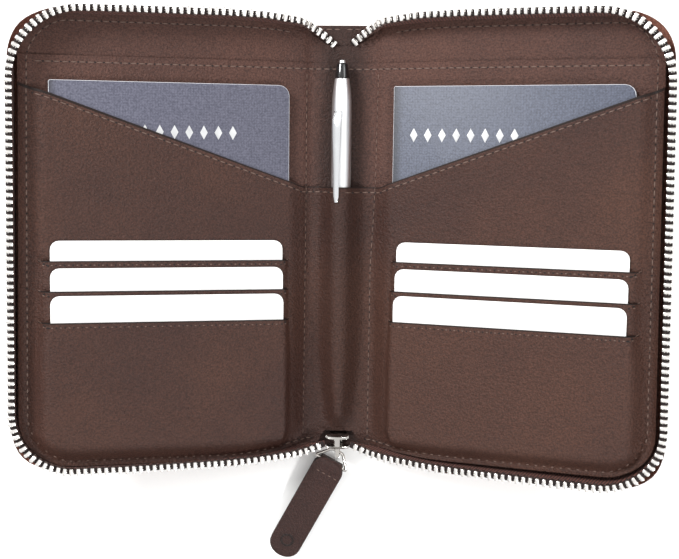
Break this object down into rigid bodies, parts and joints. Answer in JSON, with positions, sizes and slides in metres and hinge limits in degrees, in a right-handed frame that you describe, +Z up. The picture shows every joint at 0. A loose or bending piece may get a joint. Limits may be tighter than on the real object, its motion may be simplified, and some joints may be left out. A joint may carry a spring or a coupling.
{
  "type": "travel document organizer",
  "caption": "Zip-around leather travel wallet lying open on its spine, with slip pockets, slanted document pockets, card slots, a pen sleeve and a leather zip pull.",
  "frame": {"origin": "middle of the underside of the spine, where the open wallet rests", "axes": "+Z up from the spine, +Y towards the head of the wallet, +X towards the right-hand leaf as it lies open"},
  "size_m": [0.2378, 0.2124, 0.0424],
  "materials": {
    "outer_leather": "full-grain, semi-matt",
    "inner_leather": "smooth, matt",
    "pocket_leather": "smooth, semi-matt",
    "pull_leather": "smooth, semi-matt",
    "board": "uncoated",
    "divider_fabric": "woven",
    "zip_tape": "herringbone weave",
    "zip_teeth": "polished nickel tone",
    "zip_fittings": "polished nickel tone",
    "blank_card": "satin",
    "booklet_cover": "coated book cloth",
    "booklet_pages": "uncoated",
    "pen_metal": "satin",
    "pen_collar": "gloss"
  },
  "bodies": {
    "spine": {"spine_cover": "outer_leather", "spine_lining": "inner_leather", "spine_slip_pocket": "inner_leather", "pen_sleeve": "pocket_leather", "left_zip_end_foot": "zip_teeth", "right_zip_end_foot": "zip_teeth", "left_zip_end_head": "zip_teeth", "right_zip_end_head": "zip_teeth", "zip_bottom_stop": "zip_teeth"},
    "left_leaf": {"left_outer_cover": "outer_leather", "left_stiffener_board": "board", "left_lining": "inner_leather", "left_slip_pocket": "inner_leather", "left_front_pocket": "pocket_leather", "left_card_divider_upper": "divider_fabric", "left_card_divider_middle": "divider_fabric", "left_card_divider_lower": "divider_fabric", "left_zip_tape": "zip_tape", "left_zip_teeth": "zip_teeth"},
    "right_leaf": {"right_outer_cover": "outer_leather", "right_stiffener_board": "board", "right_lining": "inner_leather", "right_slip_pocket": "inner_leather", "right_front_pocket": "pocket_leather", "right_card_divider_upper": "divider_fabric", "right_card_divider_middle": "divider_fabric", "right_card_divider_lower": "divider_fabric", "right_zip_tape": "zip_tape", "right_zip_teeth": "zip_teeth"},
    "left_upper_card": {"left_card_upper": "blank_card"},
    "left_middle_card": {"left_card_middle": "blank_card"},
    "left_lower_card": {"left_card_lower": "blank_card"},
    "left_passport": {"left_passport_cover": "booklet_cover", "left_passport_pages": "booklet_pages"},
    "right_upper_card": {"right_card_upper": "blank_card"},
    "right_middle_card": {"right_card_middle": "blank_card"},
    "right_lower_card": {"right_card_lower": "blank_card"},
    "right_passport": {"right_passport_cover": "booklet_cover", "right_passport_pages": "booklet_pages"},
    "pen": {"pen_barrel": "pen_metal", "pen_point": "pen_metal", "pen_collar": "pen_collar", "pen_button": "pen_metal", "pen_clip": "pen_metal"},
    "slider": {"zip_slider": "zip_fittings"},
    "ring": {"pull_ring": "zip_fittings"},
    "tab": {"pull_tab": "pull_leather"}
  },
  "joints": [
    {"name": "left_leaf_fold", "type": "hinge", "parent": "spine", "child": "left_leaf", "pos_m": [-0.013, 0, 0], "axis": [0, 1, 0], "range_deg": [-15, 74.5]},
    {"name": "left_upper_card_slide", "type": "slide", "parent": "left_leaf", "child": "left_upper_card", "axis": [0, 1, 0], "range_m": [0, 0.045]},
    {"name": "left_middle_card_slide", "type": "slide", "parent": "left_leaf", "child": "left_middle_card", "axis": [0, 1, 0], "range_m": [0, 0.045]},
    {"name": "left_lower_card_slide", "type": "slide", "parent": "left_leaf", "child": "left_lower_card", "axis": [0, 1, 0], "range_m": [0, 0.045]},
    {"name": "left_passport_slide", "type": "slide", "parent": "left_leaf", "child": "left_passport", "axis": [0, 1, 0], "range_m": [0, 0.022]},
    {"name": "right_leaf_fold", "type": "hinge", "parent": "spine", "child": "right_leaf", "pos_m": [0.013, 0, 0], "axis": [0, -1, 0], "range_deg": [-15, 74.5]},
    {"name": "right_upper_card_slide", "type": "slide", "parent": "right_leaf", "child": "right_upper_card", "axis": [0, 1, 0], "range_m": [0, 0.045]},
    {"name": "right_middle_card_slide", "type": "slide", "parent": "right_leaf", "child": "right_middle_card", "axis": [0, 1, 0], "range_m": [0, 0.045]},
    {"name": "right_lower_card_slide", "type": "slide", "parent": "right_leaf", "child": "right_lower_card", "axis": [0, 1, 0], "range_m": [0, 0.045]},
    {"name": "right_passport_slide", "type": "slide", "parent": "right_leaf", "child": "right_passport", "axis": [0, 1, 0], "range_m": [0, 0.022]},
    {"name": "pen_slide", "type": "slide", "parent": "spine", "child": "pen", "axis": [0, 1, 0], "range_m": [0, 0.09]},
    {"name": "zip_slider_travel", "type": "slide", "parent": "spine", "child": "slider", "axis": [0, 0, 1], "range_m": [0, 0.003]},
    {"name": "pull_ring_swing", "type": "hinge", "parent": "slider", "child": "ring", "pos_m": [0, -0.0825, 0.006], "axis": [-0.8829, 0.4695, 0], "range_deg": [0, 50]},
    {"name": "pull_tab_swing", "type": "hinge", "parent": "ring", "child": "tab", "pos_m": [-0.00268, -0.08754, 0.00499], "axis": [-0.8829, 0.4695, 0], "range_deg": [0, 30]}
  ]
}
